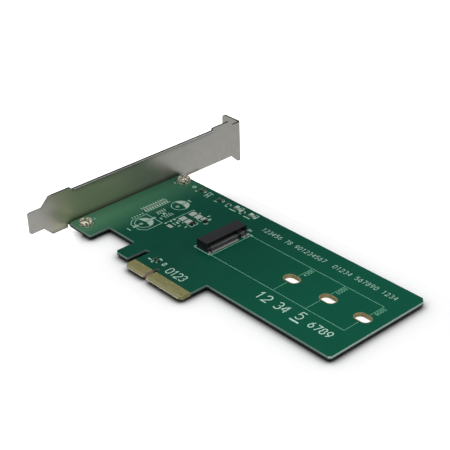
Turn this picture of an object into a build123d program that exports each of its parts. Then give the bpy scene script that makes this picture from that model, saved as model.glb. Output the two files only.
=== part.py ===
from build123d import *
import os

# Adapter card: a slot-in board with a rear bracket and a socket for a small plug-in module.
# Frame: origin on the component face, at the tip of the card-edge tongue, on the key notch's centre line.
# +X runs along the board away from the bracket, +Y away from the tongue, +Z up from the component face.
# All sizes are in millimetres.

# Board
BOARD_T = 1.6                # laminate with its mask
COPPER_T = 0.05              # plated copper standing proud of either face
BARREL_WALL = 0.08           # copper on the wall of a plated hole
BRACKET_SIDE_REACH = 56.0    # origin to the edge beside the bracket
FAR_REACH = 89.0             # origin to the free end
TONGUE_LENGTH = 13.8         # tip to the board's lower edge
BOARD_BAND = 52.8            # lower edge to upper edge
FAR_TOP_CHAMFER = 1.8
FAR_LOW_CHAMFER = 1.0
NOTCH_FILLET = 0.5           # cutter radius left in the inner corners
CUT_PAST = 1.0               # how far a cut runs past the face it opens

# Card-edge tongue
SHORT_RUN = 11.65            # tongue from its bracket-side edge to the key notch
LONG_RUN = 21.15             # tongue from the key notch to its far edge
KEY_WIDTH = 1.9
KEY_DEPTH = 7.8
TONGUE_CHAMFER = 1.3
BEVEL_LENGTH = 1.4           # lead-in bevel at the tip, measured along the board
BEVEL_DROP = 0.5             # depth of that bevel in each face
FINGER_PITCH = 1.0
FINGER_WIDTH = 0.7
FINGER_LENGTH = 3.8
FINGER_TIP_GAP = 0.1         # from the bevel to the fingers
KEY_TO_FINGER = 1.5          # key centre to the nearest finger centre on either side
SHORT_RUN_FINGERS = 11
LONG_RUN_FINGERS = 21
SHORT_FINGER_CUT = 1.2       # the presence fingers stop this much further from the tip

# Retention hook beside the tongue, and the ear that carries the lower screw
HOOK_GAP = 3.0               # slot between hook and tongue
GAP_END_R = 1.45             # rounding of that slot's inner end
HOOK_WIDTH = 7.7
HOOK_TIP = 3.75              # hook's lower edge above the tongue's tip
HOOK_CHAMFER = 0.8
HOOK_FILLET = 0.5
EAR_WIDTH = 15.0
EAR_TIP = 3.55
EAR_CHAMFER = 0.9

# Module bay: three plated slots for a standoff, measured from the module's connector edge
MODULE_EDGE_X = 1.0
MODULE_AXIS_Y = 40.55
SLOT_SPOTS = {"42": 41.6, "60": 61.4, "80": 79.3}
SLOT_LENGTH = 7.1
SLOT_WIDTH = 4.6
SLOT_LAND = 0.42             # copper land round the slot

# Rear bracket, one folded sheet
SHEET_T = 0.86
FOLD_R = 0.5                 # inside radius of every fold
BOARD_GAP = 0.58             # board edge to the sheet's inner face
BRACKET_LENGTH = 120.02
BRACKET_WIDTH = 18.42
END_TAB_DROP = 15.65         # end tab past the tongue's tip
END_TAB_WIDTH = 10.19
END_TAB_LENGTH = 6.9
END_TAB_FILLET = 1.0
SHOULDER_LENGTH = 11.9       # full-width stretch between end tab and stiffening lip
SHOULDER_FILLET = 1.6
LIP_GAP = 0.3                # slit between shoulder and lip
LIP_LENGTH = 78.8
LIP_DROP = 0.5               # lip's top below the sheet's long edge
LIP_DEPTH = 1.7              # lip measured from the sheet's outer face, toward the board
STEP_GAP = 0.3               # slit between lip and the stretch beside the flange
CROWN_LENGTH = 10.1          # full-width stretch beside the flange
CROWN_FILLET = 0.8
FLANGE_DEPTH = 11.43         # flange measured from the sheet's outer face
FLANGE_TOP_DROP = 2.3        # flange below the sheet's upper long edge
FLANGE_LOBE = 4.0            # flange past the sheet's lower long edge
FLANGE_FILLET = 1.8
LOBE_FILLET = 1.3
LOBE_FLAT = 1.0              # flat stretch between the slant and the flange's fold
SCREW_SLOT_WIDTH = 4.42
SCREW_SLOT_SETBACK = 5.9     # sheet's outer face to the slot's centre line
SCREW_SLOT_DEPTH = 7.9       # flange's lower edge to the centre of the slot's round end

# Folded ears that carry the board
EAR_TAB_WIDTH = 8.0
EAR_TAB_MARGIN = 3.6         # screw axis to the end of the folded ear
EAR_TAB_FILLET = 1.2
RELIEF_WIDTH = 0.9           # cut at either side of a folded ear
SCREW_SETBACK = 6.7          # sheet's inner face to the screw axes
LOWER_SCREW_Y = 8.25
UPPER_SCREW_Y = 62.9

# Bracket screws
SCREW_D = 3.0
SCREW_HOLE_CLEARANCE = 0.2   # all round the screw in the board
SCREW_THREAD_PLAY = 0.03     # all round the screw in the folded ear
SCREW_LENGTH = 4.0
SCREW_TIP_CHAMFER = 0.4
HEAD_D = 6.2
HEAD_H = 2.1
HEAD_EDGE_R = 1.2
RECESS_SPAN = 3.4
RECESS_ARM = 0.9
RECESS_DEPTH = 1.3
RECESS_TAPER = 6             # degrees
SCREW_LAND_D = 6.4

# Socket for the module
SOCKET_INSERTION = 4.0       # module's connector edge to the socket's front face
SOCKET_WIDTH = 21.9
SOCKET_HEIGHT = 4.2
SOCKET_DEPTH = 7.0
SOCKET_LIFT = 0.1            # body above the board
ROOF_SETBACK = 0.6           # roof's front edge behind the lower jaw's front
ROOF_BACK_CHAMFER = 0.3
JAW_HEIGHT = 2.1             # top of the lower jaw above the board
JAW_CHAMFER = 0.4            # lead-in along the lower jaw's front edge
MOUTH_GAP = 1.0
MOUTH_DEPTH = 5.0
MOUTH_WIDTH = 20.1
MOUTH_FLARE = 0.5
KEY_RIB_OFFSET = 6.125       # key rib from the module's axis
KEY_RIB_WIDTH = 1.2
PEG_D = 1.6
SMALL_PEG_D = 1.1
PEG_REACH = 1.5              # peg below the component face
PEG_SPACING = 18.0
PEG_CLEARANCE = 0.05
UPPER_ROW_COUNT = 38         # contact places before the key takes its own
LOWER_ROW_COUNT = 37
CONTACT_PITCH = 0.5
CONTACT_WIDTH = 0.22
CONTACT_T = 0.15
CONTACT_PLAY = 0.03          # contact to the sides of its groove
FOOT_LENGTH = 1.1
PAD_MARGIN = 0.12            # solder pad past the foot on each side
CONTACT_EXIT = 0.9           # height at which an upper contact leaves the body's back
CONTACT_BUMP = 0.18          # spring tip standing into the mouth
CONTACT_REACH = 2.6          # front of the mouth to the spring tip
NAIL_WIDTH = 1.0
NAIL_HEIGHT = 0.9
NAIL_T = 0.2
NAIL_FOOT = 0.6

# Small parts: length, width and height of a chip, and the metal on each end
CHIP_SMALL = (1.6, 0.8, 0.8)
CHIP_FLAT = (1.6, 0.8, 0.45)
CHIP_LARGE = (3.2, 1.6, 0.6)
CHIP_CAP_SHARE = 0.22        # one metal end as a share of the chip's length
CHIP_SKIN = 0.02             # metal ends standing proud of the body
PAD_TOE = 0.35               # pad past the end of a chip
PAD_SIDE = 0.05              # pad past the side of a chip

# Places below are from the module's datum: its connector edge and its axis
CHIP_COLUMN_X = -42.7
CHIP_COLUMN_TOP = 4.8
CHIP_COLUMN_PITCH = 1.32
CHIP_COLUMN_COUNT = 10
TOP_ROW_Y = 22.3
TOP_ROW_X = (-37.6, -25.5)
LED_X = (-14.7, -5.6)
LED_RESISTOR_OFFSET = -5.2
LED_BASE = (3.2, 1.6, 0.5)
LED_LENS = (1.7, 1.6, 0.6)
TONGUE_CHIPS_X = (-7.3, -5.3)
TONGUE_CHIPS_Y = -29.7
DIODE_AT = (-15.8, 4.9)
DIODE_SIZE = (1.8, 1.3, 1.0)
TRANSISTOR_AT = (-18.5, -0.1)
TRANSISTOR_SIZE = (1.25, 2.0, 0.95)
LEG_T = 0.12
LEG_WIDTH = 0.3
DIODE_LEG_WIDTH = 0.35
LEG_REACH = 0.45
LEG_KNEE = 0.4               # height at which a leg leaves its body
TRANSISTOR_LEG_PITCH = 1.3

# Places left unpopulated: bare tinned pads
WIDE_PAD = (2.8, 3.3)
WIDE_PAD_X = (-25.1, -21.5)
WIDE_PAD_Y = (5.8, 0.1)
NARROW_PAD_AT = (-18.6, 6.2)
NARROW_PAD = (1.7, 2.6)
LOW_PAD_AT = (-24.1, -8.0)
LOW_PAD = (2.9, 1.7)
IC_AT = (-34.2, -2.5)
IC_PAD = (1.9, 0.5)
IC_PAD_PITCH = 1.27
IC_ROW_SPACING = 5.4
IC_ROW_COUNT = 4
CAN_AT = ((-34.8, 6.9), (-34.3, -13.8))
CAN_LEAD_PITCH = 3.5
CAN_LEAD_HOLE = 0.8
CAN_LEAD_LAND = 1.7
CAN_STRIP = (1.3, 2.9)
CAN_STRIP_OFFSET = 4.7

# Values worked out from the sizes above
TONGUE_X0 = -(KEY_WIDTH / 2 + SHORT_RUN)
TONGUE_X1 = KEY_WIDTH / 2 + LONG_RUN
BOARD_X0 = -BRACKET_SIDE_REACH
BOARD_TOP = TONGUE_LENGTH + BOARD_BAND
HOOK_X1 = TONGUE_X0 - HOOK_GAP
HOOK_X0 = HOOK_X1 - HOOK_WIDTH
EAR_X1 = BOARD_X0 + EAR_WIDTH
SHEET_IN = BOARD_X0 - BOARD_GAP
SHEET_OUT = SHEET_IN - SHEET_T
FOLD_OUT_R = FOLD_R + SHEET_T
UNDERSIDE = -BOARD_T - COPPER_T
SHEET_Z0 = UNDERSIDE - SHEET_T
SHEET_Z1 = SHEET_Z0 + BRACKET_WIDTH
END_TAB_Y = -END_TAB_DROP
BRACKET_Y1 = END_TAB_Y + BRACKET_LENGTH
FLANGE_Z0 = SHEET_Z0 - FLANGE_LOBE
FLANGE_Z1 = SHEET_Z1 - FLANGE_TOP_DROP
SCREW_X = SHEET_IN + SCREW_SETBACK
SCREW_YS = (LOWER_SCREW_Y, UPPER_SCREW_Y)
SCREW_HOLE_D = SCREW_D + 2 * SCREW_HOLE_CLEARANCE
SOCKET_FRONT = MODULE_EDGE_X + SOCKET_INSERTION
SOCKET_BACK = SOCKET_FRONT - SOCKET_DEPTH
ROOF_FRONT = SOCKET_FRONT - ROOF_SETBACK
MOUTH_END = SOCKET_FRONT - MOUTH_DEPTH
SPRING_X = SOCKET_FRONT - CONTACT_REACH
MOUTH_Z0 = JAW_HEIGHT
MOUTH_Z1 = JAW_HEIGHT + MOUTH_GAP
GROOVE = CONTACT_WIDTH + 2 * CONTACT_PLAY
PEG_X = SOCKET_FRONT - SOCKET_DEPTH / 2


def save(name, shape):
    """Write one named node."""
    export_step(shape, f"parts/{name}.step")


def corner(sketch, x, y):
    """The vertex of a flat outline nearest to a point."""
    return sketch.vertices().sort_by_distance((x, y, 0))[0]


def group(solids):
    """Several separate solids as one node."""
    return Compound(children=list(solids))


def block(x0, x1, y0, y1, z0, z1):
    """A plain block between two corners."""
    size = (x1 - x0, y1 - y0, z1 - z0)
    return Pos((x0 + x1) / 2, (y0 + y1) / 2, (z0 + z1) / 2) * Box(*size)


def from_module(x, y):
    """A place given from the module's datum, in the part's frame."""
    return MODULE_EDGE_X + x, MODULE_AXIS_Y + y


def disc(x, y, diameter, z0, z1):
    """An upright round bar between two heights."""
    return Pos(x, y, (z0 + z1) / 2) * Cylinder(diameter / 2, z1 - z0)


def oval(x, y, length, width, z0, z1):
    """An upright bar with round ends, long along X."""
    return extrude(Pos(x, y, z0) * SlotOverall(length, width), z1 - z0)


# Board

def board_outline():
    tip = 0
    sketch = make_face(Polyline(
        (BOARD_X0, BOARD_TOP), (FAR_REACH, BOARD_TOP), (FAR_REACH, TONGUE_LENGTH),
        (TONGUE_X1, TONGUE_LENGTH), (TONGUE_X1, tip), (TONGUE_X0, tip), (TONGUE_X0, TONGUE_LENGTH),
        (HOOK_X1, TONGUE_LENGTH), (HOOK_X1, HOOK_TIP), (HOOK_X0, HOOK_TIP), (HOOK_X0, TONGUE_LENGTH),
        (EAR_X1, TONGUE_LENGTH), (EAR_X1, EAR_TIP), (BOARD_X0, EAR_TIP), close=True))
    for x, y, size in ((FAR_REACH, BOARD_TOP, FAR_TOP_CHAMFER),
                       (FAR_REACH, TONGUE_LENGTH, FAR_LOW_CHAMFER),
                       (TONGUE_X1, tip, TONGUE_CHAMFER),
                       (TONGUE_X0, tip, TONGUE_CHAMFER),
                       (HOOK_X0, HOOK_TIP, HOOK_CHAMFER),
                       (BOARD_X0, EAR_TIP, EAR_CHAMFER)):
        sketch = chamfer(corner(sketch, x, y), size)
    for x, y, size in ((TONGUE_X1, TONGUE_LENGTH, NOTCH_FILLET),
                       (HOOK_X0, TONGUE_LENGTH, NOTCH_FILLET),
                       (EAR_X1, TONGUE_LENGTH, NOTCH_FILLET),
                       (HOOK_X1, HOOK_TIP, HOOK_FILLET),
                       (HOOK_X1, TONGUE_LENGTH, GAP_END_R),
                       (TONGUE_X0, TONGUE_LENGTH, GAP_END_R)):
        sketch = fillet(corner(sketch, x, y), size)
    return sketch


def key_notch():
    round_end = KEY_DEPTH - KEY_WIDTH / 2
    sketch = Pos(0, round_end) * Circle(KEY_WIDTH / 2)
    sketch += Pos(0, round_end / 2) * Rectangle(KEY_WIDTH, round_end)
    return extrude(Pos(0, 0, -BOARD_T) * sketch, BOARD_T)


def tip_bevels():
    """The two wedges that are ground off the tongue's tip."""
    flat_tip = BOARD_T - 2 * BEVEL_DROP
    upper = Polyline((0, 0), (BEVEL_LENGTH, 0), (0, -BEVEL_DROP), close=True)
    lower = Polyline((0, -BOARD_T), (BEVEL_LENGTH, -BOARD_T), (0, -BEVEL_DROP - flat_tip), close=True)
    side = Plane(origin=(TONGUE_X0, 0, 0), x_dir=(0, 1, 0), z_dir=(1, 0, 0))
    width = TONGUE_X1 - TONGUE_X0
    return [extrude(side * make_face(line), width) for line in (upper, lower)]


def slot_places():
    return {name: from_module(reach, 0) for name, reach in SLOT_SPOTS.items()}


def can_lead_places():
    half = CAN_LEAD_PITCH / 2
    return [from_module(x, y + side) for x, y in CAN_AT for side in (half, -half)]


def peg_places():
    half = PEG_SPACING / 2
    return ((PEG_X, MODULE_AXIS_Y - half, PEG_D), (PEG_X, MODULE_AXIS_Y + half, SMALL_PEG_D))


def make_board():
    board = extrude(Pos(0, 0, -BOARD_T) * board_outline(), BOARD_T)
    cuts = [key_notch(), *tip_bevels()]
    for x, y in slot_places().values():
        cuts.append(oval(x, y, SLOT_LENGTH + 2 * BARREL_WALL, SLOT_WIDTH + 2 * BARREL_WALL, -BOARD_T, 0))
    for y in SCREW_YS:
        cuts.append(disc(SCREW_X, y, SCREW_HOLE_D + 2 * BARREL_WALL, -BOARD_T, 0))
    for x, y in can_lead_places():
        cuts.append(disc(x, y, CAN_LEAD_HOLE + 2 * BARREL_WALL, -BOARD_T, 0))
    for x, y, diameter in peg_places():
        cuts.append(disc(x, y, diameter + 2 * PEG_CLEARANCE, -BOARD_T, 0))
    return board - cuts


# Plated copper

def round_plating(x, y, hole, land):
    """A land on either face joined by the barrel between them."""
    barrel = disc(x, y, hole + 2 * BARREL_WALL, UNDERSIDE, COPPER_T)
    lands = disc(x, y, land, 0, COPPER_T) + disc(x, y, land, UNDERSIDE, -BOARD_T)
    return barrel + lands - disc(x, y, hole, UNDERSIDE, COPPER_T)


def slot_plating(x, y):
    land = 2 * SLOT_LAND
    barrel = oval(x, y, SLOT_LENGTH + 2 * BARREL_WALL, SLOT_WIDTH + 2 * BARREL_WALL, UNDERSIDE, COPPER_T)
    upper = oval(x, y, SLOT_LENGTH + land, SLOT_WIDTH + land, 0, COPPER_T)
    lower = oval(x, y, SLOT_LENGTH + land, SLOT_WIDTH + land, UNDERSIDE, -BOARD_T)
    return barrel + upper + lower - oval(x, y, SLOT_LENGTH, SLOT_WIDTH, UNDERSIDE, COPPER_T)


def finger_centres():
    short = [-KEY_TO_FINGER - i * FINGER_PITCH for i in range(SHORT_RUN_FINGERS)]
    long = [KEY_TO_FINGER + i * FINGER_PITCH for i in range(LONG_RUN_FINGERS)]
    return sorted(short + long)


def fingers(z0, z1, short_ones):
    """One face's row of contact fingers."""
    solids = []
    start = BEVEL_LENGTH + FINGER_TIP_GAP
    for number, x in enumerate(finger_centres(), 1):
        cut = SHORT_FINGER_CUT if number in short_ones else 0
        half = FINGER_WIDTH / 2
        solids.append(block(x - half, x + half, start + cut, start + FINGER_LENGTH, z0, z1))
    return group(solids)


def flat_pad(x, y, size_x, size_y):
    return block(x - size_x / 2, x + size_x / 2, y - size_y / 2, y + size_y / 2, 0, COPPER_T)


# Rear bracket

def fold(origin, x_dir, z_dir, leg, width):
    """A quarter fold and its flat leg; the origin is the fold's outer corner."""
    outline = make_face([
        RadiusArc((0, FOLD_OUT_R), (FOLD_OUT_R, 0), -FOLD_OUT_R),
        Line((FOLD_OUT_R, 0), (leg, 0)),
        Line((leg, 0), (leg, SHEET_T)),
        Line((leg, SHEET_T), (FOLD_OUT_R, SHEET_T)),
        RadiusArc((FOLD_OUT_R, SHEET_T), (SHEET_T, FOLD_OUT_R), FOLD_R),
        Line((SHEET_T, FOLD_OUT_R), (0, FOLD_OUT_R))])
    return extrude(Plane(origin=origin, x_dir=x_dir, z_dir=z_dir) * outline, width)


def sheet_face():
    """The bracket's main face, standing beside the board's edge."""
    middle = (SHEET_Z0 + SHEET_Z1) / 2
    tab_z0 = middle - END_TAB_WIDTH / 2
    tab_z1 = middle + END_TAB_WIDTH / 2
    taper_y0 = END_TAB_Y + END_TAB_LENGTH
    taper_y1 = taper_y0 + SHEET_Z1 - tab_z1
    shoulder_y = taper_y1 + SHOULDER_LENGTH
    step_y = shoulder_y + LIP_GAP + LIP_LENGTH + STEP_GAP
    crown_y = step_y + CROWN_LENGTH
    fold_y = BRACKET_Y1 - FOLD_OUT_R
    lip_z = SHEET_Z1 - LIP_DROP - FOLD_OUT_R
    slant_y1 = fold_y - LOBE_FLAT
    slant_y0 = slant_y1 - FLANGE_LOBE
    sketch = make_face(Polyline(
        (END_TAB_Y, tab_z0), (END_TAB_Y, tab_z1), (taper_y0, tab_z1), (taper_y1, SHEET_Z1),
        (shoulder_y, SHEET_Z1), (shoulder_y, lip_z), (step_y, lip_z), (step_y, SHEET_Z1),
        (crown_y, SHEET_Z1), (crown_y + FLANGE_TOP_DROP, FLANGE_Z1), (fold_y, FLANGE_Z1),
        (fold_y, FLANGE_Z0), (slant_y1, FLANGE_Z0), (slant_y0, SHEET_Z0),
        (taper_y1, SHEET_Z0), (taper_y0, tab_z0), close=True))
    for y, z, size in ((END_TAB_Y, tab_z0, END_TAB_FILLET), (END_TAB_Y, tab_z1, END_TAB_FILLET),
                       (taper_y1, SHEET_Z0, END_TAB_FILLET), (taper_y1, SHEET_Z1, END_TAB_FILLET),
                       (shoulder_y, SHEET_Z1, SHOULDER_FILLET), (step_y, SHEET_Z1, CROWN_FILLET),
                       (slant_y1, FLANGE_Z0, LOBE_FILLET)):
        sketch = fillet(corner(sketch, y, z), size)
    side = Plane(origin=(SHEET_OUT, 0, 0), x_dir=(0, 1, 0), z_dir=(1, 0, 0))
    return extrude(side * sketch, SHEET_T), shoulder_y + LIP_GAP


def make_flange():
    leg = SHEET_T + FLANGE_DEPTH
    flange = fold((SHEET_IN, BRACKET_Y1, FLANGE_Z0), (-1, 0, 0), (0, 0, 1), leg, FLANGE_Z1 - FLANGE_Z0)
    far_edges = flange.edges().filter_by(Axis.Y).sort_by(Axis.X)[:2]
    flange = fillet(far_edges, FLANGE_FILLET)
    slot_x = SHEET_OUT - SCREW_SLOT_SETBACK
    slot_z = FLANGE_Z0 + SCREW_SLOT_DEPTH
    half = SCREW_SLOT_WIDTH / 2
    depth = 2 * (SHEET_T + CUT_PAST)
    round_end = Pos(slot_x, BRACKET_Y1, slot_z) * Rot(90, 0, 0) * Cylinder(half, depth)
    throat = block(slot_x - half, slot_x + half, BRACKET_Y1 - SHEET_T - CUT_PAST, BRACKET_Y1 + CUT_PAST,
                   FLANGE_Z0 - CUT_PAST, slot_z)
    return flange - [round_end, throat]


def folded_ear(y):
    """The ear under the board, with the tapped hole for its screw."""
    leg = SHEET_T + SCREW_SETBACK + EAR_TAB_MARGIN
    ear = fold((SHEET_OUT, y + EAR_TAB_WIDTH / 2, SHEET_Z0), (1, 0, 0), (0, -1, 0), leg, EAR_TAB_WIDTH)
    ear = fillet(ear.edges().filter_by(Axis.Z).sort_by(Axis.X)[-2:], EAR_TAB_FILLET)
    return ear - disc(SCREW_X, y, SCREW_D + 2 * SCREW_THREAD_PLAY, SHEET_Z0, UNDERSIDE)


def make_bracket():
    face, lip_y = sheet_face()
    for y in SCREW_YS:
        half = EAR_TAB_WIDTH / 2 + RELIEF_WIDTH
        face -= block(SHEET_OUT, SHEET_IN, y - half, y + half, SHEET_Z0, SHEET_Z0 + FOLD_OUT_R)
    lip_top = SHEET_Z1 - LIP_DROP
    lip = fold((SHEET_OUT, lip_y, lip_top), (1, 0, 0), (0, 1, 0), LIP_DEPTH, LIP_LENGTH)
    return face + [lip, make_flange(), *(folded_ear(y) for y in SCREW_YS)]


# Screws

def make_screw(y):
    seat = COPPER_T
    head = disc(SCREW_X, y, HEAD_D, seat, seat + HEAD_H)
    head = fillet(head.edges().filter_by(GeomType.CIRCLE).sort_by(Axis.Z)[-1], HEAD_EDGE_R)
    arms = Rectangle(RECESS_SPAN, RECESS_ARM) + Rectangle(RECESS_ARM, RECESS_SPAN)
    recess = extrude(Pos(SCREW_X, y, seat + HEAD_H) * arms, -RECESS_DEPTH, taper=RECESS_TAPER)
    shank = disc(SCREW_X, y, SCREW_D, seat - SCREW_LENGTH, seat)
    shank = chamfer(shank.edges().filter_by(GeomType.CIRCLE).sort_by(Axis.Z)[0], SCREW_TIP_CHAMFER)
    return head - recess + shank


# Socket

def contact_offsets():
    """Upper and lower contacts from the module's axis, without those in the key's place."""
    room = KEY_RIB_WIDTH / 2 + CONTACT_PITCH
    rows = []
    for places in (UPPER_ROW_COUNT, LOWER_ROW_COUNT):
        first = -(places - 1) / 2 * CONTACT_PITCH
        row = [first + i * CONTACT_PITCH for i in range(places)]
        rows.append([y for y in row if abs(y - KEY_RIB_OFFSET) > room])
    return rows


def slice_along(points, offset, width):
    """A side outline in X and Z, given its width across the socket."""
    y = MODULE_AXIS_Y + offset + width / 2
    side = Plane(origin=(0, y, 0), x_dir=(1, 0, 0), z_dir=(0, -1, 0))
    return extrude(side * make_face(Polyline(*points, close=True)), width)


def lower_contact(offset):
    """Foot in front, riser up the jaw's face and a spring reaching into the mouth."""
    t = CONTACT_T
    toe = SOCKET_FRONT + FOOT_LENGTH
    knee = MOUTH_Z0 - JAW_CHAMFER
    lead = SOCKET_FRONT - JAW_CHAMFER
    points = [(toe, COPPER_T), (toe, COPPER_T + t), (SOCKET_FRONT + t, COPPER_T + t),
              (SOCKET_FRONT + t, knee), (lead + t, MOUTH_Z0), (SPRING_X + 2 * t, MOUTH_Z0),
              (SPRING_X, MOUTH_Z0 + CONTACT_BUMP), (SPRING_X - t, MOUTH_Z0 + CONTACT_BUMP),
              (SPRING_X, MOUTH_Z0 - t), (lead, MOUTH_Z0 - t), (SOCKET_FRONT, knee - t),
              (SOCKET_FRONT, COPPER_T)]
    return slice_along(points, offset, CONTACT_WIDTH)


def lower_groove(offset):
    """Room for a lower contact in the jaw's top and chamfer."""
    t = CONTACT_T + CONTACT_PLAY
    knee = MOUTH_Z0 - JAW_CHAMFER - t
    inner = SPRING_X - 2 * CONTACT_T
    points = [(inner, MOUTH_Z0), (inner, MOUTH_Z0 - t), (SOCKET_FRONT - JAW_CHAMFER, MOUTH_Z0 - t),
              (SOCKET_FRONT, knee), (SOCKET_FRONT + CUT_PAST, knee), (SOCKET_FRONT + CUT_PAST, MOUTH_Z0)]
    return slice_along(points, offset, GROOVE)


def upper_contact(offset):
    """Foot behind, and a beam under the roof with its tip standing down into the mouth."""
    t = CONTACT_T
    toe = SOCKET_BACK - FOOT_LENGTH
    points = [(toe, COPPER_T), (toe, COPPER_T + t), (SOCKET_BACK - t, COPPER_T + t),
              (SOCKET_BACK - t, CONTACT_EXIT + t), (MOUTH_END, CONTACT_EXIT + t), (MOUTH_END, MOUTH_Z1 + t),
              (SPRING_X, MOUTH_Z1 + t), (SPRING_X + t, MOUTH_Z1 - CONTACT_BUMP),
              (SPRING_X, MOUTH_Z1 - CONTACT_BUMP), (SPRING_X - t, MOUTH_Z1), (MOUTH_END + t, MOUTH_Z1),
              (MOUTH_END + t, CONTACT_EXIT), (SOCKET_BACK, CONTACT_EXIT), (SOCKET_BACK, COPPER_T)]
    return slice_along(points, offset, CONTACT_WIDTH)


def upper_groove(offset):
    """Room for an upper contact: along the roof, down the mouth's end and out of the back."""
    play = CONTACT_PLAY
    t = CONTACT_T + play
    front = ROOF_FRONT - MOUTH_FLARE
    points = [(front, MOUTH_Z1), (front, MOUTH_Z1 + t), (MOUTH_END - play, MOUTH_Z1 + t),
              (MOUTH_END - play, CONTACT_EXIT + t), (SOCKET_BACK, CONTACT_EXIT + t),
              (SOCKET_BACK, CONTACT_EXIT - play), (MOUTH_END + t, CONTACT_EXIT - play),
              (MOUTH_END + t, MOUTH_Z1)]
    return slice_along(points, offset, GROOVE)


def make_socket_body():
    roof_back = SOCKET_BACK + ROOF_BACK_CHAMFER
    outline = [(SOCKET_FRONT, SOCKET_LIFT), (SOCKET_FRONT, MOUTH_Z0 - JAW_CHAMFER),
               (SOCKET_FRONT - JAW_CHAMFER, MOUTH_Z0), (ROOF_FRONT, MOUTH_Z1), (ROOF_FRONT, SOCKET_HEIGHT),
               (roof_back, SOCKET_HEIGHT), (SOCKET_BACK, SOCKET_HEIGHT - ROOF_BACK_CHAMFER),
               (SOCKET_BACK, SOCKET_LIFT)]
    mouth = [(SOCKET_FRONT + CUT_PAST, MOUTH_Z0), (MOUTH_END, MOUTH_Z0), (MOUTH_END, MOUTH_Z1),
             (ROOF_FRONT - MOUTH_FLARE, MOUTH_Z1), (ROOF_FRONT, MOUTH_Z1 + MOUTH_FLARE),
             (SOCKET_FRONT + CUT_PAST, MOUTH_Z1 + MOUTH_FLARE)]
    body = slice_along(outline, 0, SOCKET_WIDTH) - slice_along(mouth, 0, MOUTH_WIDTH)
    rib = [(MOUTH_END, MOUTH_Z0), (SOCKET_FRONT - JAW_CHAMFER, MOUTH_Z0),
           (ROOF_FRONT, MOUTH_Z1 + MOUTH_FLARE), (MOUTH_END, MOUTH_Z1 + MOUTH_FLARE)]
    body += slice_along(rib, KEY_RIB_OFFSET, KEY_RIB_WIDTH)
    upper, lower = contact_offsets()
    body -= [upper_groove(offset) for offset in upper]
    body -= [lower_groove(offset) for offset in lower]
    body -= [nail_pocket(side) for side in (-1, 1)]
    for x, y, diameter in peg_places():
        body += disc(x, y, diameter, -PEG_REACH, 2 * SOCKET_LIFT)
    return body


def nail_centre(side):
    """The solder nails sit in the body's front, at its two ends."""
    return MODULE_AXIS_Y + side * ((SOCKET_WIDTH - NAIL_WIDTH) / 2 - 2 * CONTACT_PLAY)


def nail_pocket(side):
    y = nail_centre(side)
    half = NAIL_WIDTH / 2 + CONTACT_PLAY
    return block(SOCKET_FRONT - NAIL_T - CONTACT_PLAY, SOCKET_FRONT + CUT_PAST, y - half, y + half,
                 0, NAIL_HEIGHT + CONTACT_PLAY)


def solder_nail(side):
    y = nail_centre(side)
    half = NAIL_WIDTH / 2
    upright = block(SOCKET_FRONT - NAIL_T, SOCKET_FRONT, y - half, y + half, COPPER_T, NAIL_HEIGHT)
    foot = block(SOCKET_FRONT, SOCKET_FRONT + NAIL_FOOT, y - half, y + half, COPPER_T, COPPER_T + NAIL_T)
    return upright + foot


def socket_pads():
    """Solder pads under the contacts' feet and the nails."""
    upper, lower = contact_offsets()
    length = FOOT_LENGTH + 2 * PAD_MARGIN
    pads = []
    for offset in lower:
        pads.append(flat_pad(SOCKET_FRONT + FOOT_LENGTH / 2, MODULE_AXIS_Y + offset, length, CONTACT_WIDTH))
    for offset in upper:
        pads.append(flat_pad(SOCKET_BACK - FOOT_LENGTH / 2, MODULE_AXIS_Y + offset, length, CONTACT_WIDTH))
    for side in (-1, 1):
        pads.append(flat_pad(SOCKET_FRONT + NAIL_FOOT / 2, nail_centre(side),
                             NAIL_FOOT + 2 * PAD_MARGIN, NAIL_WIDTH + 2 * PAD_MARGIN))
    return pads


# Small parts

def chip(x, y, size, turn=0):
    """A chip part: its body between two metal ends, long along X before its turn."""
    length, width, height = size
    end = length * CHIP_CAP_SHARE
    z0 = COPPER_T
    body = block(-length / 2 + end, length / 2 - end, -width / 2, width / 2, z0 + CHIP_SKIN, z0 + height)
    solids = [body]
    half = width / 2 + CHIP_SKIN
    for side in (-1, 1):
        ends = sorted((side * (length / 2 - end), side * length / 2))
        solids.append(block(*ends, -half, half, z0, z0 + height + CHIP_SKIN))
    place = Pos(*from_module(x, y), 0) * Rot(0, 0, turn)
    return group([place * solid for solid in solids])


def chip_pads(x, y, size, turn=0):
    length, width, _ = size
    inner = length / 2 * (1 - 2 * CHIP_CAP_SHARE)
    outer = length / 2 + PAD_TOE
    place = Pos(*from_module(x, y), 0) * Rot(0, 0, turn)
    pad = flat_pad((inner + outer) / 2, 0, outer - inner, width + 2 * PAD_SIDE)
    return [place * pad, place * Rot(0, 0, 180) * pad]


def led(x, y):
    """A chip light: a pale base between its metal ends, with a milky block of lens on top."""
    base, *ends = chip(x, y, LED_BASE).children
    length, width, height = LED_LENS
    z0 = COPPER_T + LED_BASE[2]
    lens = block(-length / 2, length / 2, -width / 2, width / 2, z0, z0 + height)
    return group([base, *ends, Pos(*from_module(x, y), 0) * lens])


def leg_piece(side, length, width, y):
    """A leg that leaves a body's end, turns down and lies flat on its pad."""
    edge = length / 2
    foot = block(edge, edge + LEG_REACH, y - width / 2, y + width / 2, COPPER_T, COPPER_T + LEG_T)
    riser = block(edge, edge + LEG_T, y - width / 2, y + width / 2, COPPER_T, COPPER_T + LEG_KNEE)
    piece = foot + riser
    return piece if side > 0 else Pos(0, 2 * y, 0) * Rot(0, 0, 180) * piece


def diode():
    length, width, height = DIODE_SIZE
    place = Pos(*from_module(*DIODE_AT), 0)
    body = block(-length / 2, length / 2, -width / 2, width / 2, COPPER_T + LEG_T, COPPER_T + height)
    legs = [leg_piece(side, length, DIODE_LEG_WIDTH, 0) for side in (-1, 1)]
    return group([place * solid for solid in (body, *legs)])


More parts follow.
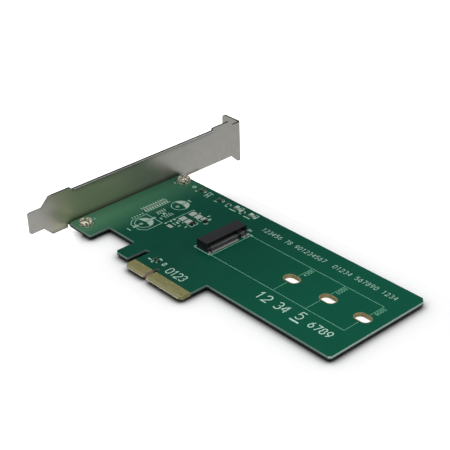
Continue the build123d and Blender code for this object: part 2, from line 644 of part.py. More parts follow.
def transistor():
    """Three legs: two on one side and one on the other."""
    length, width, height = TRANSISTOR_SIZE
    place = Pos(*from_module(*TRANSISTOR_AT), 0)
    body = block(-length / 2, length / 2, -width / 2, width / 2, COPPER_T + LEG_T, COPPER_T + height)
    half = TRANSISTOR_LEG_PITCH / 2
    legs = [leg_piece(-1, length, LEG_WIDTH, y) for y in (-half, half)]
    legs.append(leg_piece(1, length, LEG_WIDTH, 0))
    return group([place * solid for solid in (body, *legs)])


def leg_pads(at, length, places, width):
    """Pads under legs, each given by its side and its offset along Y."""
    x, y = from_module(*at)
    reach = length / 2 + LEG_REACH / 2
    return [flat_pad(x + side * reach, y + offset, LEG_REACH + 2 * PAD_MARGIN, width + 2 * PAD_MARGIN)
            for side, offset in places]


def chip_places():
    """Name, place, size and turn of every chip."""
    spots = [(CHIP_COLUMN_X, CHIP_COLUMN_TOP - i * CHIP_COLUMN_PITCH, CHIP_FLAT, 0)
             for i in range(CHIP_COLUMN_COUNT)]
    spots += [(x, TOP_ROW_Y, CHIP_LARGE, 0) for x in TOP_ROW_X]
    spots += [(x, TONGUE_CHIPS_Y, CHIP_SMALL, 90) for x in TONGUE_CHIPS_X]
    named = [(f"chip_{i}", *spot) for i, spot in enumerate(spots, 1)]
    for i, x in enumerate(LED_X, 1):
        named.append((f"led_resistor_{i}", x + LED_RESISTOR_OFFSET, TOP_ROW_Y, CHIP_FLAT, 0))
    return named


def part_pads():
    """Pads under the small parts."""
    pads = []
    for _, x, y, size, turn in chip_places():
        pads += chip_pads(x, y, size, turn)
    for x in LED_X:
        pads += chip_pads(x, TOP_ROW_Y, LED_BASE)
    pads += leg_pads(DIODE_AT, DIODE_SIZE[0], ((-1, 0), (1, 0)), DIODE_LEG_WIDTH)
    half = TRANSISTOR_LEG_PITCH / 2
    pads += leg_pads(TRANSISTOR_AT, TRANSISTOR_SIZE[0], ((-1, -half), (-1, half), (1, 0)), LEG_WIDTH)
    return pads


def bare_pads():
    """Pads of the places that are left unpopulated."""
    pads = [flat_pad(*from_module(x, y), *WIDE_PAD) for x in WIDE_PAD_X for y in WIDE_PAD_Y]
    pads.append(flat_pad(*from_module(*NARROW_PAD_AT), *NARROW_PAD))
    pads.append(flat_pad(*from_module(*LOW_PAD_AT), *LOW_PAD))
    for side in (-1, 1):
        x = IC_AT[0] + side * IC_ROW_SPACING / 2
        for i in range(IC_ROW_COUNT):
            y = IC_AT[1] + (i - (IC_ROW_COUNT - 1) / 2) * IC_PAD_PITCH
            pads.append(flat_pad(*from_module(x, y), *IC_PAD))
    x, y = CAN_AT[1]
    pads += [flat_pad(*from_module(x, y + side * CAN_STRIP_OFFSET), *CAN_STRIP) for side in (-1, 1)]
    return pads


def main():
    os.makedirs("parts", exist_ok=True)
    save("board", make_board())
    save("bracket", make_bracket())
    save("bracket_screws", group(make_screw(y) for y in SCREW_YS))
    for name, (x, y) in slot_places().items():
        save(f"standoff_slot_plating_{name}", slot_plating(x, y))
    screw_holes = [round_plating(SCREW_X, y, SCREW_HOLE_D, SCREW_LAND_D) for y in SCREW_YS]
    save("screw_hole_plating", group(screw_holes))
    save("lead_hole_plating",
         group(round_plating(x, y, CAN_LEAD_HOLE, CAN_LEAD_LAND) for x, y in can_lead_places()))
    last = SHORT_RUN_FINGERS + LONG_RUN_FINGERS
    save("edge_fingers_component_side", fingers(0, COPPER_T, (last - 1,)))
    save("edge_fingers_solder_side", fingers(UNDERSIDE, -BOARD_T, (1,)))
    save("bare_pads", group(bare_pads()))
    save("part_pads", group(part_pads()))
    save("socket_pads", group(socket_pads()))
    upper, lower = contact_offsets()
    save("socket_body", make_socket_body())
    save("socket_contacts_upper", group(upper_contact(offset) for offset in upper))
    save("socket_contacts_lower", group(lower_contact(offset) for offset in lower))
    save("socket_solder_nails", group(solder_nail(side) for side in (-1, 1)))
    for name, x, y, size, turn in chip_places():
        save(name, chip(x, y, size, turn))
    for number, x in enumerate(LED_X, 1):
        save(f"led_{number}", led(x, TOP_ROW_Y))
    save("diode", diode())
    save("transistor", transistor())


main()
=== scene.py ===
import math

import bmesh
import bpy
from mathutils import Euler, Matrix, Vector

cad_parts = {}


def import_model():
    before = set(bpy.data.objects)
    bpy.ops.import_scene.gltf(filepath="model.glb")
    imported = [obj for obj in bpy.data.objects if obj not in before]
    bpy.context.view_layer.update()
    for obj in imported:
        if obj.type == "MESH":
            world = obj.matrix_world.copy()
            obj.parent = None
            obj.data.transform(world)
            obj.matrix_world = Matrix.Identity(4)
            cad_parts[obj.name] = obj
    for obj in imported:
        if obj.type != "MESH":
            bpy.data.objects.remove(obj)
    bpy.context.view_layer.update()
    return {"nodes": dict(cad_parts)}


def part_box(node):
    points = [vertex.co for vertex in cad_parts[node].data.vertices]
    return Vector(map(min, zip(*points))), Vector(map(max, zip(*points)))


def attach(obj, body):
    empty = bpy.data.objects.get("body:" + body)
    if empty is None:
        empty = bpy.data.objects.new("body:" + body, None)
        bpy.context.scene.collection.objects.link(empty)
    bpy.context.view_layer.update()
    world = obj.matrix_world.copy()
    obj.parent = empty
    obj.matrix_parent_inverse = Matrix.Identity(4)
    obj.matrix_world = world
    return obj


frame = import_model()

# The visual model of the adapter card: materials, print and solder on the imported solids, then the floor,
# the light and the camera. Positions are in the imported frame; lengths are in millimetres, and MM turns
# them into metres.

MM = 0.001
nodes = frame["nodes"]

PRINT_RISE = 0.02            # printed ink standing on the mask
PRINT_SINK = 0.02            # and reaching into it
LINE = 0.26                  # width of a printed stroke where none is given
MODULE_Y = 40.55             # the module's axis, across the board
MODULE_HALF = 11.0           # half the module's width
TONGUE_X = (-13.5, 23.0)     # a stretch along the board that holds the tongue
TONGUE_BARE = 5.45           # the tongue is bare of mask from its tip up to here
NOTCH_HALF = 1.2             # a little over half the key notch's width
END_WALL = 0.02              # a wall closer to the tip than this is the tongue's end wall
TRACKS_X = (-12.0, 21.0)     # the field beside the tongue where copper tracks show
TRACKS_Y = (5.4, 27.0)
FAR_END_X = 80.0             # walls beyond this belong to the board's far end
SHOULDER_Y = -3.4            # the bracket's end tab and shoulder lie below this
LIP_EDGE_Z = 14.96           # middle of the lip's cut edge
LIP_X, LIP_Z = -55.8, 12.0   # the lip's cut edge lies beyond both
BARREL_Z = (-1.55, -0.05)    # the inner walls of the plated slots, between their two lands
PADS_X = -29.5               # bare pads before this are the thin ones
FEET_X = 5.3                 # the contacts' soldered feet lie beyond this
LENS_Z = 0.6                 # a light's clear lens begins above this
CAP_SHARE = 0.22             # share of a chip's length that each metal end takes
SOLDER_REACH = 0.28          # how far a fillet runs out over the pad
PAD_TOP = 0.05               # and the height it starts from
LOW_PART = 0.6               # parts lower than this have low fillets
PLATE_Z = -2.9               # the plate under the board
GROUND_Z = -200.0            # the floor far below it
PAINTED_SHADE_REACH = 3.0              # how near a part has to be for the painted shade on the bracket
SHADOW_REACH = 14.0          # and to deepen the shadow on the plate and the floor


# Node helpers

class Nodes:
    """Short way to write a material's node tree."""

    def __init__(self, name):
        self.material = bpy.data.materials.new(name)
        self.material.use_nodes = True
        self.tree = self.material.node_tree
        self.tree.nodes.clear()
        self.out = self.tree.nodes.new("ShaderNodeOutputMaterial")
        self.shader = self.add("ShaderNodeBsdfPrincipled")
        self.link(self.shader.outputs[0], self.out.inputs["Surface"])
        self.place = self.add("ShaderNodeTexCoord").outputs["Object"]

    def add(self, kind, **settings):
        node = self.tree.nodes.new(kind)
        for key, value in settings.items():
            setattr(node, key, value)
        return node

    def link(self, a, b):
        self.tree.links.new(a, b)

    def feed(self, socket, value):
        """A socket takes either another node's output or a plain value."""
        if isinstance(value, bpy.types.NodeSocket):
            self.link(value, socket)
        else:
            socket.default_value = value

    def math(self, operation, a, b=0.0):
        node = self.add("ShaderNodeMath", operation=operation)
        self.feed(node.inputs[0], a)
        self.feed(node.inputs[1], b)
        return node.outputs[0]

    def times(self, a, b):
        return self.math("MULTIPLY", a, b)

    def plus(self, a, b):
        return self.math("ADD", a, b)

    def between(self, value, low, high):
        """1 where the value, a position, lies between two places in millimetres, else 0."""
        return self.times(self.math("GREATER_THAN", value, low * MM),
                          self.math("LESS_THAN", value, high * MM))

    def mix(self, factor, a, b):
        node = self.add("ShaderNodeMix", data_type="RGBA")
        self.feed(node.inputs[0], factor)
        self.feed(node.inputs[6], a)
        self.feed(node.inputs[7], b)
        return node.outputs[2]

    def noise(self, scale, detail=2.0, stretch=(1, 1, 1)):
        """Noise on real positions; scale is in features a metre."""
        mapping = self.add("ShaderNodeMapping")
        self.link(self.place, mapping.inputs["Vector"])
        mapping.inputs["Scale"].default_value = stretch
        node = self.add("ShaderNodeTexNoise")
        self.link(mapping.outputs[0], node.inputs["Vector"])
        node.inputs["Scale"].default_value = scale
        node.inputs["Detail"].default_value = detail
        return node.outputs["Fac"]

    def ramp(self, value, low, high, start=0.0, end=1.0):
        """A value mapped from the span start to end onto low to high, and held there beyond it."""
        node = self.add("ShaderNodeMapRange")
        self.feed(node.inputs["Value"], value)
        node.inputs["From Min"].default_value = start
        node.inputs["From Max"].default_value = end
        node.inputs["To Min"].default_value = low
        node.inputs["To Max"].default_value = high
        return node.outputs[0]

    def axis(self, name):
        """The position along one axis, in metres."""
        node = self.add("ShaderNodeSeparateXYZ")
        self.link(self.place, node.inputs[0])
        return node.outputs[name]

    def facing(self, name):
        """How far the surface faces along one axis, -1 to 1."""
        node = self.add("ShaderNodeSeparateXYZ")
        self.link(self.add("ShaderNodeNewGeometry").outputs["Normal"], node.inputs[0])
        return node.outputs[name]

    def bump(self, height, distance):
        """Relief whose full height is the distance, in millimetres."""
        node = self.add("ShaderNodeBump")
        node.inputs["Strength"].default_value = 1.0
        node.inputs["Distance"].default_value = distance * MM
        self.feed(node.inputs["Height"], height)
        self.link(node.outputs[0], self.shader.inputs["Normal"])

    def set(self, **values):
        names = {"color": "Base Color", "metallic": "Metallic", "roughness": "Roughness", "ior": "IOR",
                 "specular": "Specular IOR Level"}
        for key, value in values.items():
            self.feed(self.shader.inputs[names[key]], value)
        return self.material


def tone(r, g, b):
    """A display colour given in 0 to 255 as the linear values a shader takes."""
    def linear(v):
        v /= 255
        return v / 12.92 if v <= 0.04045 else ((v + 0.055) / 1.055) ** 2.4
    return linear(r), linear(g), linear(b), 1.0


# Materials

def mask_material():
    """Green mask over laminate: bare glass-fibre edges with painted shade on their lower part and on sides
    facing +X, palest at the far end from a painted highlight; painted light beside the bracket; a khaki
    tongue tip whose key notch is painted pale and whose end wall has a painted highlight; faint copper
    tracks below."""
    n = Nodes("board_mask")
    grain = n.noise(900, 3)
    cloud = n.noise(40, 2)
    x, y = n.axis("X"), n.axis("Y")

    # the masked face, with copper tracks beside the tongue and painted light beside the bracket, standing
    # for light the bracket throws onto the board
    green = n.mix(n.ramp(x, 0, 1, 0, 60 * MM), tone(8, 62, 48), tone(9, 79, 60))
    green = n.mix(n.ramp(cloud, 0, 0.25, 0.3, 0.7), green, tone(14, 80, 62))
    # painted light: the mask is paler near the bracket, most toward the lower screw
    painted_bracket_light = n.times(n.ramp(x, 1, 0, -49 * MM, -34 * MM), n.ramp(y, 1, 0.45, 10 * MM, 62 * MM))
    green = n.mix(painted_bracket_light, green, tone(68, 114, 86))
    tracks = n.add("ShaderNodeTexWave", wave_type="BANDS", bands_direction="X")
    n.link(n.place, tracks.inputs["Vector"])
    tracks.inputs["Scale"].default_value = 310
    tracks.inputs["Distortion"].default_value = 0.0
    field = n.times(n.between(x, *TRACKS_X), n.between(y, *TRACKS_Y))
    line = n.times(n.ramp(tracks.outputs["Fac"], 0, 1, 0.55, 0.75), field)
    green = n.mix(n.times(line, 0.1), green, tone(36, 92, 70))

    # the laminate's bare edge, with painted shade toward the underside and on sides facing +X, and a
    # painted highlight on the far end's wall
    weave = n.add("ShaderNodeTexWave", wave_type="BANDS", bands_direction="Z")
    n.link(n.place, weave.inputs["Vector"])
    weave.inputs["Scale"].default_value = 1500
    weave.inputs["Distortion"].default_value = 1.5
    weave.inputs["Detail"].default_value = 2
    edge = n.mix(weave.outputs["Fac"], tone(112, 142, 130), tone(136, 160, 150))
    edge = n.mix(n.ramp(grain, 0, 0.35), edge, tone(88, 116, 104))
    # painted shade on edges facing +X, and a painted highlight where they face +X at the far end
    painted_x_side = n.math("GREATER_THAN", n.facing("X"), 0.5)
    painted_far_end_highlight = n.times(painted_x_side, n.math("GREATER_THAN", x, FAR_END_X * MM))
    edge = n.mix(n.times(painted_x_side, 0.3), edge, tone(70, 92, 78))
    edge = n.mix(n.times(painted_far_end_highlight, 0.75), edge, tone(188, 206, 196))
    # painted shade: the lower half of every edge made dark
    edge = n.mix(n.ramp(n.axis("Z"), 0.95, 0, -1.05 * MM, -0.75 * MM), edge, tone(26, 40, 34))

    # the tongue's tip, with the key notch's walls painted pale as painted light in the narrow slot, and a
    # painted highlight on its end wall
    khaki = n.mix(weave.outputs["Fac"], tone(122, 120, 84), tone(138, 134, 98))
    # painted light on the notch's walls and a painted highlight on the end wall
    notch = n.math("LESS_THAN", n.math("ABSOLUTE", x), NOTCH_HALF * MM)
    khaki = n.mix(notch, khaki, tone(172, 154, 138))
    painted_end_wall_highlight = n.math("LESS_THAN", y, END_WALL * MM)
    khaki = n.mix(painted_end_wall_highlight, khaki, tone(190, 188, 164))
    tip = n.times(n.math("LESS_THAN", y, TONGUE_BARE * MM), n.between(x, *TONGUE_X))
    edge = n.mix(tip, edge, khaki)
    bare = n.mix(grain, tone(112, 106, 74), tone(126, 120, 86))
    top = n.mix(tip, green, bare)

    flat = n.math("GREATER_THAN", n.math("ABSOLUTE", n.facing("Z")), 0.97)
    color = n.mix(flat, edge, top)
    n.bump(n.plus(n.times(line, 0.2), n.times(grain, 0.3)), 0.02)
    rough = n.mix(flat, (0.6, 0.6, 0.6, 1), (0.17, 0.17, 0.17, 1))
    rough = n.plus(rough, n.ramp(cloud, -0.03, 0.05))
    return n.set(color=color, roughness=rough, ior=1.5, specular=0.12)


def sheet_material():
    """Plated folded steel: a soft mirror with faint rolling lines, a painted olive reflection of the board
    on the side toward it, painted shade on its top-facing edges and painted brown shade in the narrow gaps
    beside other parts."""
    n = Nodes("bracket_sheet")
    rolling = n.noise(60, 3, stretch=(20, 1, 20))
    spots = n.noise(350, 2)
    color = n.mix(n.ramp(spots, 0, 1, 0.35, 0.7), tone(167, 166, 160), tone(173, 172, 166))
    y = n.axis("Y")
    # painted reflection: a lighter olive tint on the faces toward the board, standing for the board's
    # green seen in the steel
    painted_board_reflection = n.times(n.ramp(y, 0, 1, -8 * MM, 2 * MM), n.ramp(y, 1, 0, 25 * MM, 60 * MM))
    painted_board_reflection = n.times(painted_board_reflection, n.ramp(n.facing("X"), 0, 1, 0.2, 0.6))
    color = n.mix(painted_board_reflection, color, tone(190, 194, 164))
    # painted shade: brown darkening where another part comes within reach, in the narrow gaps and under
    # the lip
    gap = n.add("ShaderNodeAmbientOcclusion")
    gap.inputs["Distance"].default_value = PAINTED_SHADE_REACH * MM
    color = n.mix(n.ramp(gap.outputs["AO"], 0.8, 0, 0.45, 0.97), color, tone(62, 50, 38))
    # painted shade: faces turned upward, past the shoulder, made nearly black
    painted_dark_top = n.times(n.ramp(n.facing("Z"), 0, 1, 0.2, 0.6), n.math("GREATER_THAN", y, SHOULDER_Y * MM))
    color = n.mix(painted_dark_top, color, tone(6, 6, 7))
    rough = n.plus(n.ramp(rolling, 0.28, 0.32), n.ramp(spots, -0.01, 0.02))
    n.bump(n.plus(rolling, n.times(spots, 0.2)), 0.0008)
    return n.set(color=color, metallic=0.64, roughness=rough, specular=0.3)


def cut_material():
    """Freshly sheared steel: bright, with fine lines across the thickness, and painted shade at its two
    corners, a dark line along the lip's top and the shadow under the lip.
    """
    n = Nodes("sheared_edge")
    lines = n.noise(900, 2, stretch=(1, 6, 1))
    color = n.mix(lines, tone(206, 206, 200), tone(222, 222, 216))
    # painted shade: dark bands at the edge's top and bottom corners
    from_middle = n.math("ABSOLUTE", n.math("SUBTRACT", n.axis("Z"), LIP_EDGE_Z * MM))
    color = n.mix(n.ramp(from_middle, 0, 1, 0.22 * MM, 0.3 * MM), color, tone(30, 32, 30))
    n.bump(lines, 0.004)
    return n.set(color=color, metallic=0.15, roughness=n.ramp(lines, 0.45, 0.55), specular=0.3)


def metal_material(name, light, dark, rough, scale, relief, metallic=1.0, blend=0.2):
    """Plated or tinned metal with cloudy tone and a fine uneven surface; a small blend gives hard
    patches. The scale is in features a metre and the relief in millimetres."""
    n = Nodes(name)
    cloud = n.noise(scale, 3)
    fine = n.noise(scale * 6, 2)
    color = n.mix(n.ramp(cloud, 0, 1, 0.5 - blend, 0.5 + blend), dark, light)
    n.bump(n.plus(cloud, n.times(fine, 0.4)), relief)
    return n.set(color=color, metallic=metallic, roughness=n.ramp(fine, rough - 0.05, rough + 0.06))


def plastic_material(name, color, rough, speck=0.12):
    """Moulded or fired body with a fine grain, whose specks are lighter than the body."""
    n = Nodes(name)
    grain = n.noise(2500, 3)
    light = [min(1, v * (1 + speck * 2)) for v in color[:3]] + [1]
    shade = n.mix(n.ramp(grain, 0, 1, 0.35, 0.7), color, light)
    n.bump(grain, 0.008)
    return n.set(color=shade, roughness=n.ramp(grain, rough - 0.05, rough + 0.07))


def ink_material(name, thin, full):
    """Pale printed ink: slightly uneven cover that lets some green through."""
    n = Nodes(name)
    cover = n.noise(2600, 3)
    color = n.mix(n.ramp(cover, 0, 1, 0.25, 0.55), thin, full)
    n.bump(cover, 0.01)
    return n.set(color=color, roughness=n.ramp(cover, 0.5, 0.62))


MASK = mask_material()
SHEET = sheet_material()
CUT = cut_material()
# painted glints: the screw heads' near-white patches stand for highlights, and their near-black patches
# for dark reflections
PAINTED_GLINT_SCREW = metal_material("screw_plate_painted_glints", tone(255, 255, 228), tone(54, 46, 30), 0.16, 1300, 0.5, 0.5, 0.11)
TIN = metal_material("tinned_pad", tone(190, 200, 192), tone(160, 172, 164), 0.5, 1500, 0.01, 0.6)
LAND = metal_material("plated_land", tone(148, 138, 102), tone(126, 116, 82), 0.5, 900, 0.002, 0.3)
# painted light: the slots' inner walls take the land's plating painted much paler, standing for light
# reaching into the slots
PAINTED_LIT_BARREL = metal_material("plated_barrel_painted_light", tone(208, 192, 140), tone(182, 166, 118), 0.5, 900, 0.002, 0.1)
THIN_PAD = metal_material("thin_pad", tone(156, 184, 166), tone(124, 160, 140), 0.5, 1500, 0.01, 0.3)
GOLD = metal_material("gold_finger", tone(180, 178, 128), tone(158, 156, 106), 0.5, 700, 0.003)
CONTACT = metal_material("contact_metal", tone(160, 158, 158), tone(116, 112, 112), 0.34, 1200, 0.004, 0.7)
FOOT = metal_material("contact_foot", tone(216, 216, 210), tone(168, 170, 164), 0.4, 1200, 0.006, 0.35)
SOLDER = metal_material("solder_fillet", tone(196, 212, 198), tone(158, 176, 162), 0.35, 1600, 0.015, 0.5)
DIM_SOLDER = metal_material("dull_chip_end", tone(104, 118, 104), tone(78, 96, 84), 0.45, 1600, 0.01, 0.3)
SOCKET = plastic_material("socket_body", tone(23, 24, 29), 0.42)
CHIP = plastic_material("chip_ceramic", tone(94, 122, 102), 0.45, 0.1)
DIM_CHIP = plastic_material("dull_chip_ceramic", tone(40, 60, 48), 0.45, 0.1)
BLACK = plastic_material("black_moulding", tone(30, 29, 29), 0.4)
PALE = plastic_material("led_base", tone(136, 156, 142), 0.5, 0.04)
LENS = plastic_material("led_lens", tone(158, 180, 166), 0.35, 0.03)
INK = ink_material("print_ink", tone(108, 160, 136), tone(154, 194, 174))
BRIGHT = ink_material("print_number_ink", tone(138, 184, 162), tone(184, 218, 202))
FINE = ink_material("print_fine_ink", tone(96, 176, 142), tone(140, 206, 176))
FILL = ink_material("print_fill", tone(98, 138, 118), tone(152, 170, 158))


def dress(name, *materials, pick=None):
    """Gives a node its materials; pick says which one a face takes from the face's centre."""
    mesh = nodes[name].data
    mesh.materials.clear()
    for material in materials:
        mesh.materials.append(material)
    for face in mesh.polygons:
        face.material_index = pick(face.center / MM) if pick else 0


dress("board", MASK)
dress("bracket", SHEET, CUT, pick=lambda c: 1 if c.x > LIP_X and c.z > LIP_Z else 0)
dress("bracket_screws", PAINTED_GLINT_SCREW)
for node in ("standoff_slot_plating_42", "standoff_slot_plating_60", "standoff_slot_plating_80"):
    dress(node, LAND, PAINTED_LIT_BARREL, pick=lambda c: 1 if BARREL_Z[0] < c.z < BARREL_Z[1] else 0)
for node in ("screw_hole_plating", "part_pads", "socket_pads"):
    dress(node, TIN)
dress("lead_hole_plating", THIN_PAD)
dress("bare_pads", TIN, THIN_PAD, pick=lambda c: 1 if c.x < PADS_X else 0)
for node in ("edge_fingers_component_side", "edge_fingers_solder_side"):
    dress(node, GOLD)
dress("socket_body", SOCKET)
for node in ("socket_contacts_upper", "socket_contacts_lower", "socket_solder_nails"):
    dress(node, CONTACT, FOOT, pick=lambda c: 1 if c.x > FEET_X else 0)


def chip_picker(name):
    """Metal ends against the body, by how far a face's centre lies from the chip's middle."""
    low, high = (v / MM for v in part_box(name))
    middle = (low + high) / 2
    size = high - low
    long_x = size.x > size.y
    half = (size.x if long_x else size.y) / 2

    def pick(c):
        away = abs(c.x - middle.x) if long_x else abs(c.y - middle.y)
        return 1 if away > half * (1 - 2 * CAP_SHARE) + 0.001 else 0
    return pick


for i in range(1, 15):
    body, ends = (CHIP, SOLDER) if i <= 10 else (DIM_CHIP, DIM_SOLDER)
    dress(f"chip_{i}", body, ends, pick=chip_picker(f"chip_{i}"))
for i in (1, 2):
    dress(f"led_resistor_{i}", BLACK, SOLDER, pick=chip_picker(f"led_resistor_{i}"))
    ends = chip_picker(f"led_{i}")
    dress(f"led_{i}", PALE, SOLDER, LENS, pick=lambda c, ends=ends: 2 if c.z > LENS_Z else ends(c))


def body_picker(name, half_x):
    """The moulded body against the legs that stand out of it along X."""
    low, high = (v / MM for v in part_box(name))
    middle = (low.x + high.x) / 2
    return lambda c: 1 if abs(c.x - middle) > half_x + 0.001 else 0


dress("diode", BLACK, SOLDER, pick=body_picker("diode", half_x=0.9))
dress("transistor", BLACK, SOLDER, pick=body_picker("transistor", half_x=0.625))


def add_piece(bm, name, material):
    """Makes one piece of a bmesh and lets it ride on the card."""
    mesh = bpy.data.meshes.new(name)
    bmesh.ops.recalc_face_normals(bm, faces=bm.faces)
    bm.to_mesh(mesh)
    bm.free()
    piece = bpy.data.objects.new(name, mesh)
    bpy.context.scene.collection.objects.link(piece)
    mesh.materials.append(material)
    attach(piece, "root")


# Print on the board

class Print:
    """Collects printed shapes, each a closed outline in millimetres, and makes one piece of them."""

    def __init__(self, name, ink=INK):
        self.name = name
        self.ink = ink
        self.bm = bmesh.new()

    def area(self, points):
        """A filled outline, as a thin closed slab on the board's component face, which lies at 0."""
        low = [self.bm.verts.new((x * MM, y * MM, -PRINT_SINK * MM)) for x, y in points]
        high = [self.bm.verts.new((x * MM, y * MM, PRINT_RISE * MM)) for x, y in points]
        self.bm.faces.new(reversed(low))
        self.bm.faces.new(high)
        for i in range(len(points)):
            j = (i + 1) % len(points)
            self.bm.faces.new((low[i], low[j], high[j], high[i]))

    def rect(self, x0, y0, x1, y1):
        self.area([(x0, y0), (x1, y0), (x1, y1), (x0, y1)])

    def line(self, a, b, width=LINE):
        """A straight stroke with square ends half its width past its points."""
        ax, ay = a
        bx, by = b
        length = math.hypot(bx - ax, by - ay)
        ux, uy = (bx - ax) / length * width / 2, (by - ay) / length * width / 2
        self.area([(ax - ux + uy, ay - uy - ux), (bx + ux + uy, by + uy - ux),
                   (bx + ux - uy, by + uy + ux), (ax - ux - uy, ay - uy + ux)])

    def lines(self, *strokes):
        """Straight strokes, each given as two points and a width."""
        for a, b, width in strokes:
            self.line(a, b, width)

    def path(self, points, width=LINE):
        """A bent stroke with mitred corners."""
        runs = [(Vector(b) - Vector(a)).normalized() for a, b in zip(points, points[1:])]
        sides = ([], [])
        for i, point in enumerate(points):
            before, after = runs[max(i - 1, 0)], runs[min(i, len(runs) - 1)]
            bisect = Vector((-(before.y + after.y), before.x + after.x)).normalized()
            normal = Vector((-after.y, after.x))
            reach = width / 2 / max(0.35, bisect.dot(normal))
            for side, sign in zip(sides, (1, -1)):
                side.append(Vector(point) + bisect * reach * sign)
        for i in range(len(runs)):
            self.area([sides[1][i][:], sides[1][i + 1][:], sides[0][i + 1][:], sides[0][i][:]])

    def ring(self, x, y, radius, width=LINE, steps=48):
        """A round stroke."""
        inner, outer = radius - width / 2, radius + width / 2
        for i in range(steps):
            a, b = math.radians(360 * i / steps), math.radians(360 * (i + 1) / steps)
            self.area([(x + inner * math.cos(a), y + inner * math.sin(a)),
                       (x + outer * math.cos(a), y + outer * math.sin(a)),
                       (x + outer * math.cos(b), y + outer * math.sin(b)),
                       (x + inner * math.cos(b), y + inner * math.sin(b))])

    def half_disc(self, x, y, radius, land, land_y):
        """The upper half of a disc in two halves, kept clear of a round land on its middle line."""
        for side in (1, -1):
            outer = [math.radians(90 - side * v) for v in range(4, 91, 6)]
            inner = [math.radians(90 - side * v) for v in range(160, 19, -10)]
            points = [(x + radius * math.cos(a), y + radius * math.sin(a)) for a in outer]
            points += [(x + land * math.cos(a), y + land_y + land * math.sin(a)) for a in inner]
            self.area(points[::-side])

    def digits(self, text, x, y, height, turn=0, width=LINE, spread=0.9, slim=0.6):
        """Plain numbers drawn with strokes, a space left bare. The first figure's lower left corner is at
        x and y; slim is a figure's width over its height, and spread widens the gaps between figures."""
        cell = height * slim
        c, s = math.cos(math.radians(turn)), math.sin(math.radians(turn))
        for i, figure in enumerate(text):
            for stroke in FIGURES.get(figure, []):
                points = []
                for u, v in stroke:
                    px = i * (cell + spread * height * 0.3) + u * cell
                    py = v * height
                    points.append((x + px * c - py * s, y + px * s + py * c))
                self.path(points, width)

    def finish(self):
        add_piece(self.bm, self.name, self.ink)


def arc(x, y, rx, ry, start, end, steps=8):
    """Points on part of an ellipse in a figure's unit cell."""
    return [(x + rx * math.cos(math.radians(start + (end - start) * i / steps)),
             y + ry * math.sin(math.radians(start + (end - start) * i / steps))) for i in range(steps + 1)]


FIGURES = {
    "0": [arc(0.5, 0.68, 0.5, 0.32, 0, 180, 10) + arc(0.5, 0.32, 0.5, 0.32, 180, 360, 10) + [(1, 0.68)]],
    "1": [[(0.2, 0.8), (0.55, 1), (0.55, 0)]],
    "2": [arc(0.5, 0.7, 0.48, 0.3, 165, -35) + [(0, 0), (1, 0)]],
    "3": [arc(0.48, 0.74, 0.44, 0.26, 150, -80) + arc(0.48, 0.27, 0.5, 0.27, 80, -150)],
    "4": [[(0.78, 0), (0.78, 1)], [(0.78, 1), (0, 0.3)], [(0, 0.3), (1, 0.3)]],
    "5": [[(0.9, 1), (0.15, 1), (0.08, 0.56)] + arc(0.46, 0.34, 0.5, 0.33, 130, -145)],
    "6": [arc(0.5, 0.32, 0.46, 0.32, 110, -250, 14) + [(0.2, 0.72), (0.7, 1)]],
    "7": [[(0, 1), (1, 1), (0.35, 0)]],
    "8": [arc(0.5, 0.76, 0.4, 0.24, -90, 270, 12), arc(0.5, 0.27, 0.5, 0.27, 90, 450, 12)],
    "9": [arc(0.5, 0.68, 0.46, 0.32, -70, 290, 14) + [(0.8, 0.28), (0.3, 0)]],
}


def bay_print():
    """Outline of the module, with a cross line at each standoff slot and the module's length there in
    hundredths of a millimetre."""
    p = Print("print_module_bay", FINE)
    low, high = MODULE_Y - MODULE_HALF, MODULE_Y + MODULE_HALF
    start, gap = 6.9, 3.1
    reach = {"4200": 43.0, "6000": 61.0, "8000": 81.0}
    end = reach["8000"]
    p.path([(start, low), (end, low)], 0.14)
    p.path([(start, high), (end, high)], 0.14)
    for name, x in reach.items():
        p.line((x, low), (x, MODULE_Y - gap), 0.13)
        p.line((x, MODULE_Y + gap), (x, high), 0.13)
        p.digits(name, x + 2.2, high - 6.0, 1.7, turn=90, width=0.15, spread=1.1, slim=0.5)
    p.finish()


def socket_print():
    """Outline of the socket, with its number beside the upper corner."""
    p = Print("print_socket_outline")
    x0, x1, y0, y1 = -3.25, 6.6, 29.1, 51.9
    p.path([(x1, y1), (x0, y1), (x0, y0), (x1 - 0.5, y0), (x1, y0 + 0.5), (x1, y0 + 1.6)], 0.34)
    p.path([(x1, y1), (x1, y1 - 1.6)], 0.34)
    p.line((x1 - 0.3, y1 + 0.1), (x1 + 1.2, y1 - 0.3), 0.6)
    p.path([(x1, y0 + 1.6), (x1 + 0.35, y0 + 1.9), (x1 + 0.35, y1 - 1.9), (x1, y1 - 1.6)], 0.2)
    p.digits("24", 2.3, 53.4, 1.5, width=0.32)
    p.finish()


def plain_number_print():
    """Plain numbers where the card is lettered."""
    p = Print("print_plain_numbers", BRIGHT)
    p.digits("123456 78 901234567", 6.7, 57.7, 2.5, width=0.19, spread=0.92, slim=0.5)
    p.digits("01234 567890 1234", 47.7, 57.7, 2.5, width=0.2, spread=1.0, slim=0.5)
    p.digits("12", 40.8, 21.5, 4.6, width=0.5, spread=0.95)
    p.digits("34", 51.2, 21.5, 4.6, width=0.5, spread=0.5)
    p.digits("5", 61.9, 22.4, 4.9, width=0.42)
    p.line((61.7, 20.7), (65.6, 20.7), 0.8)
    p.digits("6789", 69.2, 21.9, 3.6, width=0.46, spread=0.73)
    p.digits("0123", 3.2, 7.9, 4.0, width=0.36, spread=0.42, slim=0.55)
    p.digits("8", -1.7, 10.3, 2.2, width=0.3)
    p.finish()


